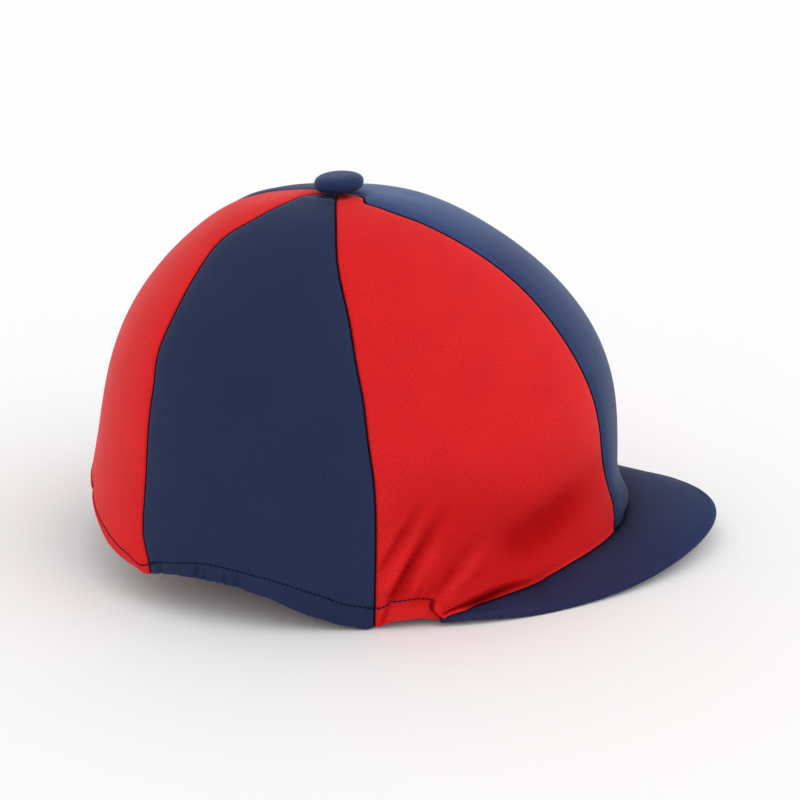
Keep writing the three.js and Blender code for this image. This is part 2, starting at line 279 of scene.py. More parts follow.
def fold_sums(rows, azimuth, height):
    """How far a table's folds stand off the plain form, and their painted shade."""
    across = side_azimuth(azimuth) * DEGREE * side_reach
    relief = np.zeros_like(across)
    shade = np.zeros_like(across)
    for start, low, end, high, bow, depth, shading, ear_width, peak_width in rows:
        run = np.array([(end - start) * DEGREE * side_reach, high - low])
        length = np.hypot(*run)
        ahead = run / length
        from_start = across - start * DEGREE * side_reach
        along = (from_start * ahead[0] + (height - low) * ahead[1]) / length
        beside = from_start * ahead[1] - (height - low) * ahead[0]
        held = np.clip(along, 0, 1)
        beside = beside - bow * 4 * held * (1 - held)
        width = np.where(beside > 0, ear_width, peak_width)
        taper = smooth((along + 0.12) / 0.30) * smooth((1.12 - along) / 0.55)
        form = taper * bell(beside, width)
        relief += depth * form
        shade += shading * form
    return relief, shade


fold_fade = 4.0


def above_joint(azimuth, height):
    """Height above the peak's upper face at its root."""
    return height - crown_edge(azimuth) - peak_thickness


def fold_relief(azimuth, height):
    folds = fold_sums(FOLDS, azimuth, height)[0]
    joint_share = smooth(above_joint(azimuth, height) / fold_fade)
    tucks = fold_sums(HEM_TUCKS, azimuth, height)[0]
    return folds * np.maximum(joint_share, hem_share(azimuth)) + tucks * hem_share(azimuth)


# Where the crown's cloth laps over the end of the hem beside the peak's corner: height and azimuth
LAP_ROWS = np.array([
    (1.0, 71.4), (4.5, 72.5), (6.5, 73.5), (8.6, 74.2), (11.0, 74.4), (14.0, 73.8),
])
lap_azimuth = curve_through(LAP_ROWS)
lap_step = 1.9
lap_edge = 0.55
lap_reach = 7.0
lap_press = 0.9
lap_press_reach = 3.5
lap_top = 15.5
lap_fade = 4.5


def inside_lap(azimuth, height):
    """How far a place lies on the peak's side of the lap's edge."""
    return (lap_azimuth(height) - side_azimuth(azimuth)) * DEGREE * side_reach


def lap_relief(azimuth, height):
    """The lap stands out, and presses in the end of the hem beside it."""
    inside = inside_lap(azimuth, height)
    over = smooth(inside / lap_edge + 0.5)
    lapped = lap_step * over * np.exp(-np.maximum(0, inside) / lap_reach)
    pressed = lap_press * (1 - over) * np.exp(np.minimum(0, inside) / lap_press_reach)
    return (lapped - pressed) * smooth((lap_top - height) / lap_fade)


# Where the crown's cloth rolls in over the root of the peak: azimuth, height of the crease above
# the joint, its half widths above and below, and its painted shade
JOINT_ROWS = np.array([
    (20.0, 2.2, 2.0, 1.6, 0.00), (36.0, 2.2, 2.0, 1.6, 0.00), (46.0, 2.2, 2.0, 1.6, 0.00),
    (50.0, 2.6, 3.0, 1.8, 0.20), (53.3, 3.1, 3.8, 2.2, 0.56), (56.5, 3.3, 4.2, 2.4, 0.77),
    (59.5, 3.1, 4.5, 2.7, 0.90), (62.5, 2.5, 4.6, 2.7, 1.00), (65.4, 1.9, 4.1, 2.0, 1.00),
    (68.3, 2.0, 2.3, 0.8, 0.94), (71.0, 1.8, 1.2, 0.6, 0.88), (73.0, 1.5, 0.9, 0.6, 0.80),
])
crease_height, crease_above, crease_below, crease_shade = (
    curve_through(JOINT_ROWS, c) for c in (1, 2, 3, 4)
)
joint_roll = 2.3
joint_roll_reach = 6.5
joint_crease = 0.9
roll_lost = 0.8


def crease_form(azimuth, height):
    """1 along the crease over the joint, where the temple gores are drawn in to the peak."""
    side = side_azimuth(azimuth)
    off = above_joint(azimuth, height) - crease_height(side)
    return bell(off, np.where(off > 0, crease_above(side), crease_below(side)))


def joint_relief(azimuth, height):
    """The cloth rolls in over the joint, and towards the peak's corner it is only creased there."""
    side = side_azimuth(azimuth)
    window = smooth((72.5 - side) / 2) * smooth((side - 40) / 14)
    corner_share = smooth((side - 64) / 4)
    roll = joint_roll * smooth(1 - above_joint(azimuth, height) / joint_roll_reach)
    crease = joint_crease * crease_form(azimuth, height)
    return -window * (roll * (1 - roll_lost * corner_share) + crease * corner_share)


def flare_relief(azimuth, height):
    """The front gore's cloth rolls out over the root of the peak."""
    above = above_joint(azimuth, height)
    flare = np.clip(1 - above / flare_height, 0, 1)
    bulge = np.clip(1 - above / bulge_height, 0, 1) * smooth(above / bulge_start)
    side = side_azimuth(azimuth)
    return (front_flare * flare**2 * smooth(1 - side / flare_half_angle)
            + front_bulge * bulge * smooth(1 - side / bulge_half_angle))


# Azimuth and height of the stitch line above the hem's edge, and how deep the hem gathers there
STITCH_ROWS = np.array([
    (72.0, 9.6, 0.10), (74.0, 10.0, 0.10), (77.4, 10.7, 0.10), (79.8, 10.6, 0.15),
    (81.5, 10.1, 0.10), (82.3, 10.2, 0.10), (82.8, 9.8, 0.10), (83.6, 9.7, 0.10), (84.8, 10.1, 0.08),
    (86.0, 11.2, 0.05), (88.7, 11.2, 0.05), (91.4, 11.8, 0.05), (94.7, 12.3, 0.05),
    (98.2, 12.0, 0.05), (100.9, 10.9, 0.08), (102.8, 10.0, 0.10), (105.6, 9.2, 0.15),
    (108.7, 8.5, 0.20), (113.2, 7.8, 0.25), (118.7, 7.7, 0.30), (121.2, 7.3, 0.30),
    (126.0, 6.2, 0.30), (130.0, 5.9, 0.30), (133.3, 5.9, 0.20), (135.4, 5.1, 0.15),
    (137.4, 4.2, 0.06), (138.9, 3.6, 0.04), (141.1, 4.5, 0.04), (144.7, 4.7, 0.04),
    (148.9, 4.4, 0.04), (154.0, 3.6, 0.04), (159.7, 2.4, 0.05), (165.0, 1.9, 0.06),
    (172.0, 2.2, 0.08), (180.0, 2.6, 0.08),
])
stitch_height = curve_through(STITCH_ROWS, 1)
gather_depth = curve_through(STITCH_ROWS, 2)
peak_corner_azimuth = 72.7
stitch_start = 74.3
stitch_groove = 0.20
stitch_groove_width = 0.8
gather_lengths = (4.3, 6.1, 9.7)
gather_slant = 0.35


def hem_share(azimuth):
    """1 where the hem is free, 0 where the crown is sewn to the peak."""
    return smooth((side_azimuth(azimuth) - peak_corner_azimuth + 0.6) / 1.2)


def hem_relief(azimuth, height):
    """The stitch line's groove, the elastic hem's gathers below it and its curled edge."""
    side = side_azimuth(azimuth)
    above = height - crown_edge(azimuth)
    line = stitch_height(side)
    groove = stitch_groove * bell(above - line, stitch_groove_width)
    along = np.mod(azimuth, 360) * DEGREE * side_reach
    waves = ripple(along + gather_slant * above, gather_lengths, 11)
    gathers = gather_depth(side) * waves * smooth((line + 0.6 - above) / 3.0)
    curl = (0.9 * smooth((side - 138) / 20) - 0.3) * np.clip(1 - above / line, 0, 1)**2
    return hem_share(azimuth) * (gathers + curl - groove)


unevenness = 0.22
low_fullness = 0.35
far_dip = 1.4
near_dip = 1.5


def cloth_relief(azimuth, height):
    """All that stands off the plain form. On both sides the cloth dips in towards the button."""
    slow = ripple(azimuth * DEGREE * side_reach + 0.6 * height, (61.0, 97.0, 143.0), 5)
    slower = ripple(height - 0.4 * azimuth, (48.0, 83.0), 6)
    fullness = low_fullness * smooth((165 - height) / 30)
    fall = fall_at(height)
    far_share = smooth(0.5 + plain_point(azimuth, fall)[..., 1] / 24)
    dip = far_dip * smooth((0.245 - fall) / 0.12) * far_share
    dip = dip + near_dip * smooth((0.085 - fall) / 0.035) * (1 - far_share)
    return (fold_relief(azimuth, height) + joint_relief(azimuth, height)
            + flare_relief(azimuth, height) + hem_relief(azimuth, height)
            + lap_relief(azimuth, height) + unevenness * slow * slower + fullness - dip)


# Painted shade along each seam and at the edge of the lap over the hem
seam_shading = 0.55
seam_shading_width = 0.6
lap_shading = 0.85
lap_shading_width = 0.7


def temple_shade(azimuth, height):
    """Painted shade in a temple gore's folds, low down, over the joint and beside the lap."""
    side = side_azimuth(azimuth)
    hem = hem_share(azimuth)
    low = 0.05 + 0.25 * smooth((88 - height) / 46) * smooth((86 - side) / 8)
    low = low * (1 - 0.8 * hem * smooth((13 - height) / 4))
    folds = fold_sums(FOLDS, azimuth, height)[1] + low
    folds = folds * smooth(above_joint(azimuth, height) / 3.0 + hem)
    crease = crease_shade(side) * crease_form(azimuth, height) * smooth((73.3 - side) / 1.5)
    lap = lap_shading * bell(inside_lap(azimuth, height) + 0.2, lap_shading_width)
    lap = lap * smooth((14.5 - height) / 2)
    return np.maximum(np.maximum(folds, crease), lap)


def front_shade(azimuth, height):
    """Painted shade at the forehead, more the lower, where the front gore turns down to the peak."""
    facing = smooth((30 - side_azimuth(azimuth)) / 6)
    low = 0.42 * smooth((168 - height) / 26) + 0.08 * smooth((130 - height) / 40)
    near_joint = 0.40 * bell(np.maximum(0, above_joint(azimuth, height)), 15.0)
    return (low + near_joint) * facing


def cloth_shade(azimuth, height, from_seam, temple):
    """How much painted shade the cloth takes in its folds and tucks and into the seams."""
    tucks = fold_sums(HEM_TUCKS, azimuth, height)[1] * hem_share(azimuth)
    if temple:
        shade = np.maximum(tucks, temple_shade(azimuth, height))
    else:
        shade = tucks + front_shade(azimuth, height)
    return np.clip(shade + seam_shading * bell(from_seam, seam_shading_width), 0, 1)


def grid_quads(rows, columns, first, turned):
    r, c = np.meshgrid(np.arange(rows - 1), np.arange(columns - 1), indexing="ij")
    a = (first + r * columns + c).ravel()
    quads = np.stack([a, a + columns, a + columns + 1, a + 1], axis=1)
    return quads[:, ::-1] if turned else quads


def put(name, data):
    """A new object of a mesh, lamp or lens in the scene."""
    thing = bpy.data.objects.new(name, data)
    bpy.context.scene.collection.objects.link(thing)
    return thing


def cloth_mesh(name, points, faces, uv, painted_shade, material):
    """A smooth mesh with its cloth's flat layout in millimetres and painted shade at each point."""
    mesh = bpy.data.meshes.new(name)
    mesh.from_pydata((points * MM).tolist(), [], faces)
    corner_points = np.empty(len(mesh.loops), dtype=np.int32)
    mesh.loops.foreach_get("vertex_index", corner_points)
    layout = mesh.uv_layers.new(name="cloth")
    layout.data.foreach_set("uv", uv[corner_points].ravel())
    shade = mesh.attributes.new("painted_shade", "FLOAT", "POINT")
    shade.data.foreach_set("value", painted_shade)
    mesh.polygons.foreach_set("use_smooth", np.ones(len(faces), dtype=bool))
    mesh.materials.append(material)
    return mesh


def shell(name, outer, inner, uv, painted_shade, material):
    """A closed cloth wall from an outer and an inner grid of points in millimetres."""
    rows, columns = outer.shape[:2]
    count = rows * columns
    index = np.arange(count).reshape(rows, columns)
    rim = np.concatenate([
        index[0, :-1], index[:-1, -1], index[-1, :0:-1], index[:0:-1, 0],
    ])
    after = np.roll(rim, -1)
    side = np.stack([rim, after, after + count, rim + count], axis=1)
    quads = np.concatenate([
        grid_quads(rows, columns, 0, False), grid_quads(rows, columns, count, True), side,
    ])
    points = np.concatenate([outer.reshape(-1, 3), inner.reshape(-1, 3)])
    both_uv = np.tile(uv.reshape(-1, 2), (2, 1))
    both_painted_shade = np.tile(painted_shade.ravel(), 2)
    mesh = cloth_mesh(name, points, quads.tolist(), both_uv, both_painted_shade, material)
    mesh.set_sharp_from_angle(angle=50 * DEGREE)
    return put(name, mesh)


class Nodes:
    """A material's nodes, each made and wired in one call."""

    def __init__(self, name):
        self.material = bpy.data.materials.new(name)
        self.material.use_nodes = True
        self.tree = self.material.node_tree
        self.shader = self.tree.nodes["Principled BSDF"]

    def add(self, kind, settings=None, **inputs):
        node = self.tree.nodes.new("ShaderNode" + kind)
        for key, value in (settings or {}).items():
            setattr(node, key, value)
        for key, value in inputs.items():
            socket = node.inputs[int(key[1:])] if key[1:].isdigit() else node.inputs[key]
            self.feed(socket, value)
        return node

    def feed(self, socket, value):
        if isinstance(value, bpy.types.NodeSocket):
            self.tree.links.new(value, socket)
        else:
            socket.default_value = value

    def math(self, operation, first, second=0.0):
        return self.add("Math", {"operation": operation}, i0=first, i1=second).outputs[0]

    def blend(self, kind, share, first, second):
        node = self.add("Mix", {"data_type": "RGBA", "blend_type": kind})
        self.feed(node.inputs[0], share)
        self.feed(node.inputs[6], first)
        self.feed(node.inputs[7], second)
        return node.outputs[2]

    def mottled(self, spread, colour, contrast):
        """A colour made lighter and darker by a share."""
        light = tuple(min(1, c * (1 + contrast)) for c in colour) + (1,)
        dark = tuple(c * (1 - contrast) for c in colour) + (1,)
        return self.blend("MIX", spread, dark, light)


rib_pitch = 0.85
loop_pitch = 0.6
knit_contrast = 0.26


def knit(name, colour, shade_colour, sheen_tint, sheen, gloss=0.12, gloss_lost_in_shade=0.0, ribs=0.75,
         painted_light_colour=None):
    """Fine warp knit: ribs along the gore, small loops across them, a little unevenness.

    Painted shade: where the painted shade attribute is high, its colour is mixed towards the shade
    colour and its sheen, and its gloss where a loss is given, fade away. Painted light: where a
    colour for it is given, the parts the light falls on are painted in that lighter colour.
    """
    n = Nodes(name)
    uv = n.add("UVMap", {"uv_map": "cloth"}).outputs[0]
    parts = n.add("SeparateXYZ", Vector=uv)
    rib = n.math("SINE", n.math("MULTIPLY", parts.outputs[0], 2 * math.pi / rib_pitch))
    rib = n.math("MULTIPLY", rib, ribs)
    loops = n.math("SINE", n.math("MULTIPLY", parts.outputs[1], 2 * math.pi / loop_pitch))
    grain = n.add("TexNoise", Vector=uv, Scale=1.1, Detail=3.0, Roughness=0.7).outputs[0]
    patches = n.add("TexNoise", Vector=uv, Scale=0.045, Detail=2.0, Roughness=0.5).outputs[0]
    weave = n.math("ADD", n.math("MULTIPLY", rib, 0.5), n.math("MULTIPLY", loops, 0.25))
    height = n.math("ADD", weave, n.math("MULTIPLY", grain, 1.3))
    bump = n.add("Bump", Height=height, Strength=0.55, Distance=0.05 * MM)
    n.feed(n.shader.inputs["Normal"], bump.outputs[0])
    mottle = n.math("ADD", n.math("MULTIPLY", grain, 0.82), n.math("MULTIPLY", patches, 0.18))
    share = n.math("ADD", mottle, n.math("MULTIPLY", rib, 0.15))
    spread = n.add("MapRange", i0=share, i1=0.3, i2=0.7, i3=0.0, i4=1.0).outputs[0]
    cloth = n.mottled(spread, colour, knit_contrast)
    if painted_light_colour:
        painted_light_share = n.add("Attribute", {"attribute_name": "open"}).outputs["Fac"]
        cloth = n.blend("MIX", painted_light_share, cloth, n.mottled(spread, painted_light_colour, knit_contrast))
    # Painted shade: the colour goes towards the shade colour, and sheen and gloss fade, where this
    # is high
    painted_shade = n.add("Attribute", {"attribute_name": "painted_shade"}).outputs["Fac"]
    shaded = n.blend("MIX", painted_shade, cloth, tuple(shade_colour) + (1,))
    n.feed(n.shader.inputs["Base Color"], shaded)
    n.shader.inputs["Roughness"].default_value = 0.60
    if gloss_lost_in_shade:
        kept = n.math("SUBTRACT", 1.0, n.math("MULTIPLY", painted_shade, gloss_lost_in_shade))
        gloss = n.math("MULTIPLY", n.math("MAXIMUM", kept, 0.0), gloss)
    n.feed(n.shader.inputs["Specular IOR Level"], gloss)
    lit = n.math("SUBTRACT", 1.0, painted_shade)
    n.feed(n.shader.inputs["Sheen Weight"], n.math("MULTIPLY", lit, sheen))
    n.shader.inputs["Sheen Roughness"].default_value = 0.38
    n.shader.inputs["Sheen Tint"].default_value = tuple(sheen_tint) + (1,)
    return n.material


blue_sheen = (0.55, 0.68, 1.0)
red_sheen = (1.0, 0.42, 0.42)
navy_knit = knit("navy_knit", (0.0145, 0.0230, 0.0720), (0.006, 0.009, 0.028), blue_sheen, 0.16)
# The front gore's knit is lighter than the other navy gores: partly its other grain and stronger
# sheen, partly painted light from the light above and ahead, which its painted shade takes away
# again lower down.
front_knit = knit(
    "front_knit", (0.0300, 0.0560, 0.1640), (0.009, 0.014, 0.046), blue_sheen, 0.38, gloss=0.115,
)
red_knit = knit(
    "red_knit", (0.700, 0.0104, 0.0128), (0.140, 0.0010, 0.0014), red_sheen, 0.16,
    gloss=0.13, gloss_lost_in_shade=2.0,
)

GORES = [
    ("panel_front", ("front", -1), ("far front", 1), front_knit, "navy_cloth"),
    ("panel_front_right", ("side", -1), ("front", -1), red_knit, "red_cloth"),
    ("panel_back_right", ("back", -1), ("side", -1), navy_knit, "navy_cloth"),
    ("panel_back", ("far back", 1), ("back", -1), red_knit, "red_cloth"),
    ("panel_back_left", ("side", 1), ("far back", 1), navy_knit, "navy_cloth"),
    ("panel_front_left", ("far front", 1), ("side", 1), red_knit, "red_cloth"),
]

TEMPLE_GORES = ("panel_front_right", "panel_front_left")
temple_columns = 210
plain_columns = 120
crown_rows = 120
hem_rows = 56
hem_band = 16.0
groove_depth = 0.62
groove_width = 0.85
front_roll = (0.9, 3.4)
plain_roll = (0.25, 2.2)
draw_in_depth = 0.35
draw_in_width = 6.0
allowance_width = 5.6
allowance_wall = 0.55
hem_above_stitches = 1.0
least_wall = 0.02


def gore_azimuth(start, end, share, fall):
    first = start[1] * seam_azimuth[start[0]](fall)
    last = end[1] * seam_azimuth[end[0]](fall)
    last = np.where(last < first, last + 360, last)
    return first + (last - first) * share


def gore_places(start, end, share):
    """Azimuth and fall of a gore's grid: rows run parallel to its lower edge."""
    upper = np.linspace(0, 1, crown_rows, endpoint=False)[:, None]
    lower = (1 - np.linspace(0, 1, hem_rows))[:, None]**1.6
    azimuth = gore_azimuth(start, end, share[None, :], np.full((crown_rows + hem_rows, 1), 0.9))
    for _ in range(6):
        edge = crown_edge(azimuth)
        band_fall = fall_at(edge[:crown_rows] + hem_band)
        above = tip_fall + (band_fall - tip_fall) * upper
        below = fall_at(edge[crown_rows:] + hem_band * lower)
        fall = np.concatenate([above, below])
        azimuth = gore_azimuth(start, end, share[None, :], np.minimum(fall, 1))
    return azimuth, fall


for name, start, end, material, slot in GORES:
    temple = name in TEMPLE_GORES
    even = np.linspace(0, 1, temple_columns if temple else plain_columns)
    share = 0.5 * even + 0.5 * (0.5 - 0.5 * np.cos(math.pi * even))
    azimuth, fall = gore_places(start, end, share)
    height = height_at(fall)
    plain = plain_point(azimuth, fall)
    normal = plain_normal(azimuth, fall)
    steps = np.linalg.norm(np.diff(plain, axis=1), axis=-1)
    from_start = np.concatenate([np.zeros((len(steps), 1)), np.cumsum(steps, axis=1)], axis=1)
    to_seam = np.minimum(from_start, from_start[:, -1:] - from_start)
    down = np.linalg.norm(np.diff(plain, axis=0), axis=-1)
    along = np.concatenate([np.zeros((1, down.shape[1])), np.cumsum(down, axis=0)])
    uv = np.stack([from_start - from_start[:, -1:] / 2, along], axis=-1)

    roll_depth, roll_width = front_roll if name == "panel_front" else plain_roll
    middle = cloth_relief(azimuth, height)
    middle = middle - draw_in_depth * bell(to_seam, draw_in_width)
    middle = middle - roll_depth * bell(to_seam, roll_width)
    above_edge = height - crown_edge(azimuth)
    turned = np.maximum(0, 1 - above_edge / (hem_wall / 2))
    rolled = (hem_wall / 2) * (1 - np.sqrt(np.maximum(0, 1 - turned**2)))
    outer_off = middle - groove_depth * bell(to_seam, groove_width) - rolled
    hem_top = stitch_height(side_azimuth(azimuth)) + hem_above_stitches
    hem_extra = (hem_wall - cloth_wall) * smooth((hem_top - above_edge) / 0.6)
    seam_extra = allowance_wall * smooth((allowance_width - to_seam) / 0.5)
    inner_off = middle - cloth_wall - np.maximum(hem_extra, seam_extra) + rolled
    inner_off = np.minimum(inner_off, outer_off - least_wall)

    tangent = plain_point(azimuth + 0.5, fall) - plain_point(azimuth - 0.5, fall)
    tangent /= np.linalg.norm(tangent, axis=-1, keepdims=True)
    shift = np.zeros_like(azimuth)
    shift[:, 0] = seam_gap / 2
    shift[:, -1] = -seam_gap / 2
    outer = plain + normal * outer_off[..., None] + tangent * shift[..., None]
    inner = plain + normal * inner_off[..., None] + tangent * shift[..., None]
    for grid in (outer, inner):
        grid[..., 2] = np.maximum(grid[..., 2], 0)
    painted_shade = cloth_shade(azimuth, height, to_seam, temple)
    gore = shell(name + "_cloth", outer, inner, uv, painted_shade, material)
    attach(gore, "root")
    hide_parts(name)


# The seam threads
# Dark thread sinks between two gores all the way from the button to the hem. Only a thin dark line
# of it shows at the bottom of each seam's groove; its near-black colour stands for the thread and,
# painted in, for the shade down in the groove.

def ring_faces(rings, sides):
    """The faces between rings of points, each ring joined to the next."""
    faces = []
    for r in range(rings - 1):
        for s in range(sides):
            t = (s + 1) % sides
            faces.append((r * sides + s, r * sides + t, (r + 1) * sides + t, (r + 1) * sides + s))
    return faces


def tube(path, radius, sides=8):
    """Points and faces of a closed tube along a path."""
    heading = np.gradient(path, axis=0)
    heading /= np.linalg.norm(heading, axis=1, keepdims=True)
    up = np.array([0.0, 0.0, 1.0])
    if np.abs(heading[:, 2]).max() > 0.98:
        up = np.array([0.31, 0.95, 0.05])
    beside = np.cross(heading, up)
    beside /= np.linalg.norm(beside, axis=1, keepdims=True)
    over = np.cross(beside, heading)
    turn = np.linspace(0, 2 * math.pi, sides, endpoint=False)[None, :, None]
    ring = beside[:, None] * np.cos(turn) + over[:, None] * np.sin(turn)
    points = (path[:, None] + radius * ring).reshape(-1, 3)
    faces = ring_faces(len(path), sides)
    faces.append(tuple(range(sides))[::-1])
    last = (len(path) - 1) * sides
    faces.append(tuple(range(last, last + sides)))
    return points, faces


def thread_piece(name, runs, material):
    """One mesh of many closed tubes or dashes."""
    points = []
    faces = []
    for run_points, run_faces in runs:
        first = len(points)
        points.extend((run_points * MM).tolist())
        faces.extend([tuple(first + i for i in face) for face in run_faces])
    mesh = bpy.data.meshes.new(name)
    mesh.from_pydata(points, [], faces)
    mesh.polygons.foreach_set("use_smooth", np.ones(len(faces), dtype=bool))
    mesh.set_sharp_from_angle(angle=60 * DEGREE)
    mesh.materials.append(material)
    piece = put(name, mesh)
    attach(piece, "root")


thread_contrast = 0.5


def thread_finish(name, colour):
    """Twisted sewing thread, matt."""
    n = Nodes(name)
    twist = n.add("TexNoise", Scale=2600.0, Detail=2.0)
    ply = n.add("Bump", Height=twist.outputs[0], Strength=0.6, Distance=0.05 * MM)
    n.feed(n.shader.inputs["Normal"], ply.outputs[0])
    strands = n.mottled(twist.outputs[0], colour, thread_contrast)
    n.feed(n.shader.inputs["Base Color"], strands)
    n.shader.inputs["Roughness"].default_value = 0.8
    n.shader.inputs["Specular IOR Level"].default_value = 0.03
    return n.material


# Near-black thread: partly the real dark thread of seams and joint, partly painted shade in the
# grooves, the joint and the needle holes.
dark_thread_and_shade = thread_finish("dark_thread_and_shade", (0.0035, 0.0035, 0.0070))
thread_depth = 0.66
thread_end = 0.9
SEAM_THREADS = [
    ("front", -1, 0.44), ("far front", 1, 0.44),
    ("side", -1, 0.32), ("side", 1, 0.32),
    ("back", -1, 0.24), ("far back", 1, 0.24),
]

seam_runs = []
for seam, side, radius in SEAM_THREADS:
    fall = np.linspace(0.05, 0.999, 260)
    azimuth = side * seam_azimuth[seam](fall)
    end_height = float(crown_edge(side * seam_azimuth[seam](1.0))) + thread_end
    if end_height > widest_level:
        keep = height_at(fall) > end_height
        fall = fall[keep]
        azimuth = azimuth[keep]
    else:
        low = fall_at(np.linspace(widest_level, end_height, 40))[1:]
        fall = np.concatenate([fall, low])
        azimuth = np.concatenate([azimuth, np.full(len(low), azimuth[-1])])
    off = cloth_relief(azimuth, height_at(fall)) - draw_in_depth - thread_depth
    path = plain_point(azimuth, fall) + plain_normal(azimuth, fall) * off[:, None]
    seam_runs.append(tube(path, radius))
thread_piece("seam_threads", seam_runs, dark_thread_and_shade)


# The hem's stitching
# The hem is turned up over its elastic and held by one row of navy lockstitch, which lies in its own
# groove a little above the edge, from one corner of the peak round the back to the other. Between
# two stitches the thread goes down into a needle hole, shown by a near-black dash: painted shade.

stitch_pitch = 2.1
stitch_length = 1.75
stitch_radius = 0.18
stitch_lift = 0.10
stitch_bow = 0.34
hole_length = 0.65
hole_radius = 0.36
hole_depth = 0.10
navy_thread = thread_finish("navy_thread", (0.0120, 0.0175, 0.0540))


def dash(middle, heading, outwards, length, radius):
    """One stitch: a short bowed thread, sunk at both ends."""
    t = np.linspace(-1, 1, 7)[:, None]
    path = middle + heading * t * length / 2 + outwards * (stitch_lift - stitch_bow * t**2)
    return tube(path, radius, 6)


stitch_runs = []
hole_runs = []
fine = np.arange(stitch_start, 360 - stitch_start, 0.05)
level = crown_edge(fine) + stitch_height(side_azimuth(fine))
level_fall = fall_at(level)
line_off = cloth_relief(fine, level)
line = plain_point(fine, level_fall) + plain_normal(fine, level_fall) * line_off[:, None]
run = np.concatenate([[0], np.cumsum(np.linalg.norm(np.diff(line, axis=0), axis=1))])
for place in np.arange(stitch_pitch / 2, run[-1], stitch_pitch):
    i = min(int(np.searchsorted(run, place)), len(fine) - 2)
    heading = line[i + 1] - line[i - 1]
    heading /= np.linalg.norm(heading)
    outwards = plain_normal(fine[i:i + 1], level_fall[i:i + 1])[0]
    stitch_runs.append(dash(line[i], heading, outwards, stitch_length, stitch_radius))
    hole = line[i] + heading * stitch_pitch / 2 - outwards * hole_depth
    hole_runs.append(dash(hole, heading, outwards, hole_length, hole_radius))
thread_piece("hem_stitching", stitch_runs, navy_thread)
thread_piece("hem_needle_hole_shade", hole_runs, dark_thread_and_shade)


# The peak
# A stiff board covered in the navy knit, with its cover's edge seam just inside the rim. Its root
# is sewn to the front of the crown, and its sides droop until they touch what the cap stands on.

peak_tip_x = node_box("peak")[1][0]
peak_tip_height = 12.2
peak_corner_width = 2.7
peak_side_roundness = 1.397
peak_tip_roundness = 1.93
peak_slope = 0.376
peak_arch = 60.1
peak_bulge = 1.2
peak_clearance = 0.25
rim_fullness = 0.6
peak_columns = 260
peak_rows = 56
corner_level = 4.1
corner_inset = 1.5
corner_thinning = 0.3
rim_seam_inset = 2.6
rim_seam_height = 0.26
rim_seam_width = 0.45
rim_sag = 1.15
rim_sag_place = 0.46
rim_sag_width = 0.17
root_dip = 0.55
root_dip_width = 1.0

corner_azimuth = np.array([peak_corner_azimuth])
corner = plain_point(corner_azimuth, fall_at(crown_edge(corner_azimuth)))[0]
rim_length = peak_tip_x - corner[0] + rim_fullness
rim_half_width = corner[1] + peak_corner_width + rim_fullness

# The turn runs from 1 at the left corner over 0 at the tip to -1 at the right corner.
turn = np.linspace(1, -1, peak_columns)
azimuth = turn * peak_corner_azimuth
root_top = crown_edge(azimuth) + peak_thickness
root_fall = fall_at(root_top)
root_normal = plain_normal(azimuth, root_fall)
root = plain_point(azimuth, root_fall) + root_normal * cloth_relief(azimuth, root_top)[:, None]
level_normal = root_normal * np.array([1, 1, 0])
level_normal /= np.linalg.norm(level_normal, axis=1, keepdims=True)
root = root + level_normal * peak_clearance
rim_ahead = np.maximum(0, np.cos(turn * 90 * DEGREE)) ** (2 / peak_side_roundness)
rim_across = np.sign(turn) * np.abs(np.sin(turn * 90 * DEGREE)) ** (2 / peak_tip_roundness)
rim_x = corner[0] + rim_length * rim_ahead
rim_y = rim_half_width * rim_across
rim_drop = peak_arch * rim_across**2 - peak_slope * (peak_tip_x - rim_x)
rim_top = peak_tip_height - rim_drop + peak_thickness / 2
near_corner = smooth((np.abs(turn) - 0.68) / 0.22)
rim_top = rim_top + (corner_level - rim_top) * near_corner
rim_y = rim_y - np.sign(turn) * corner_inset * smooth((np.abs(turn) - 0.7) / 0.3)
rim_top = rim_top - rim_sag * bell(np.abs(turn) - rim_sag_place, rim_sag_width)
thickness = (peak_thickness - corner_thinning * near_corner)[:, None]

even = np.linspace(0, 1, peak_rows)[None, :]
share = 1 - (1 - even)**1.5
x = root[:, :1] + (rim_x[:, None] - root[:, :1]) * share
y = root[:, 1:2] + (rim_y[:, None] - root[:, 1:2]) * share
z = root_top[:, None] + (rim_top - root_top)[:, None] * share
z = z + 4 * share * (1 - share) * peak_bulge * rim_ahead[:, None]
width = np.hypot(rim_x - root[:, 0], rim_y - root[:, 1])[:, None]
from_rim = (1 - share) * width
from_root = share * width
half = peak_thickness / 2
turned = np.clip(1 - from_rim / half, 0, 1)
rolled = half * (1 - np.sqrt(1 - turned**2))
seam_ridge = rim_seam_height * bell(from_rim - rim_seam_inset, rim_seam_width)
seam_dip = root_dip * bell(from_root, root_dip_width)
top = np.stack([x, y, z + seam_ridge - seam_dip - rolled], axis=-1)
under = np.stack([x, y, z - thickness - seam_ridge + rolled], axis=-1)
for grid in (top, under):
    grid[..., 2] = np.maximum(grid[..., 2], 0)
# The peak's knit is painted purple near the crown: a painted reflection of the red crown beside it.
peak_knit = knit(
    "peak_knit", (0.0240, 0.0215, 0.0660), (0.007, 0.008, 0.026), blue_sheen, 0.05, gloss=0.06,
    painted_light_colour=(0.0190, 0.0330, 0.0980),
)
uv = np.stack([y, x], axis=-1)
# Painted shade on the peak at its root, reaching further out at the front under the gore's flare.
tip_share = smooth((0.55 - np.abs(turn)) / 0.35)[:, None]
painted_shade = 0.45 * bell(from_root, 5.0) + 0.45 * tip_share * bell(from_root, 9.0)
peak = shell("peak_cover", top, under, uv, painted_shade, peak_knit)

